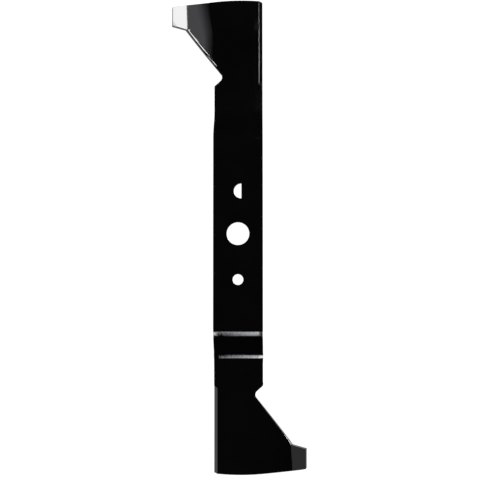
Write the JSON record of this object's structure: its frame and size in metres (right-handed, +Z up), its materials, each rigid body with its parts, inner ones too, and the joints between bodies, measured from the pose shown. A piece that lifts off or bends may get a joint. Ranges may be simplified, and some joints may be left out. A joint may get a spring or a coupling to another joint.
{
  "type": "lawn mower blade",
  "caption": "Rotary lawn mower blade of stepped steel strip with ground cutting edges, upswept lift wings, a centre bore, a round drive hole and a D-shaped drive hole.",
  "frame": {"origin": "centre of the centre bore, on the hub's top face", "axes": "+Z up along the bore axis, towards the mower deck; +Y along the blade, from the centre bore towards the D-shaped hole; +X across the blade"},
  "size_m": [0.138, 0.4896, 0.0212],
  "materials": {
    "black_paint": "semi-gloss black paint on steel"
  },
  "bodies": {
    "root": {"blade": "black_paint"}
  },
  "joints": []
}
